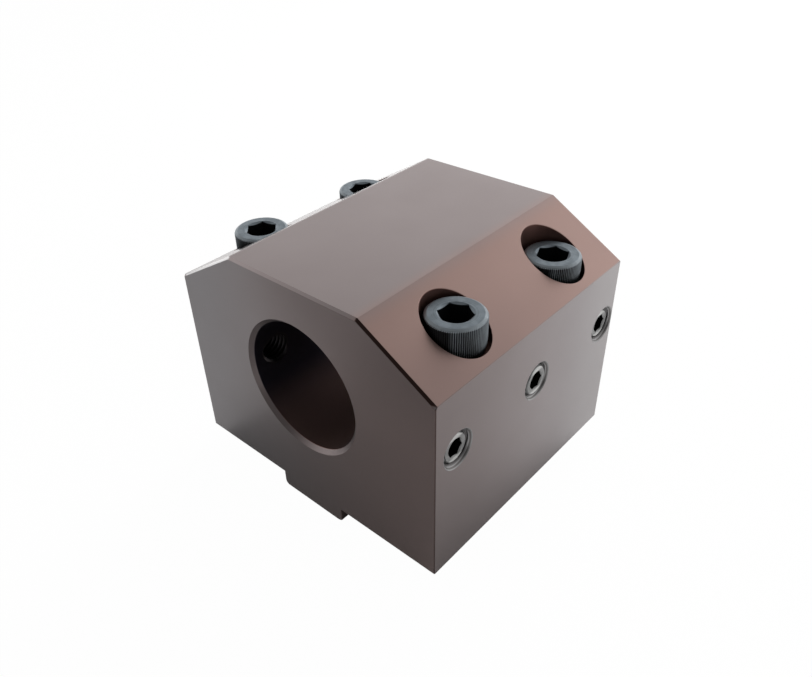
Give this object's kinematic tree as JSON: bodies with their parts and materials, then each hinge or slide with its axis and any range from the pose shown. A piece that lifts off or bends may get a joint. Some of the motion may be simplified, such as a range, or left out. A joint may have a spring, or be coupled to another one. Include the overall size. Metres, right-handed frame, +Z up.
{
  "type": "axial tool holder block",
  "caption": "Bored steel block that holds a round tool shank with side set screws and bolts to a turret face over a locating tongue.",
  "frame": {"origin": "centre of the tongue's underside, midway across and midway along the block", "axes": "+X across the block to the right, +Y back along the tool bore, +Z up from the tongue to the top face"},
  "size_m": [0.095, 0.085, 0.0777],
  "materials": {
    "block_steel": "ground steel with a brown oxide coat, satin",
    "cap_screw_steel": "black oxide, satin",
    "set_screw_steel": "black oxide, worn at the socket face"
  },
  "bodies": {
    "holder": {"block": "block_steel", "cap_screw_front_right": "cap_screw_steel", "cap_screw_front_left": "cap_screw_steel", "cap_screw_rear_right": "cap_screw_steel", "cap_screw_rear_left": "cap_screw_steel"},
    "clamp_right_front": {"set_screw_right_front": "set_screw_steel"},
    "clamp_right_middle": {"set_screw_right_middle": "set_screw_steel"},
    "clamp_right_rear": {"set_screw_right_rear": "set_screw_steel"},
    "clamp_left_front": {"set_screw_left_front": "set_screw_steel"},
    "clamp_left_middle": {"set_screw_left_middle": "set_screw_steel"},
    "clamp_left_rear": {"set_screw_left_rear": "set_screw_steel"}
  },
  "joints": [
    {"name": "clamp_right_front_travel", "type": "slide", "parent": "holder", "child": "clamp_right_front", "axis": [-1, 0, 0], "range_m": [-0.009, 0.009]},
    {"name": "clamp_right_middle_travel", "type": "slide", "parent": "holder", "child": "clamp_right_middle", "axis": [-1, 0, 0], "range_m": [-0.009, 0.009]},
    {"name": "clamp_right_rear_travel", "type": "slide", "parent": "holder", "child": "clamp_right_rear", "axis": [-1, 0, 0], "range_m": [-0.009, 0.009]},
    {"name": "clamp_left_front_travel", "type": "slide", "parent": "holder", "child": "clamp_left_front", "axis": [1, 0, 0], "range_m": [-0.009, 0.009]},
    {"name": "clamp_left_middle_travel", "type": "slide", "parent": "holder", "child": "clamp_left_middle", "axis": [1, 0, 0], "range_m": [-0.009, 0.009]},
    {"name": "clamp_left_rear_travel", "type": "slide", "parent": "holder", "child": "clamp_left_rear", "axis": [1, 0, 0], "range_m": [-0.009, 0.009]}
  ]
}
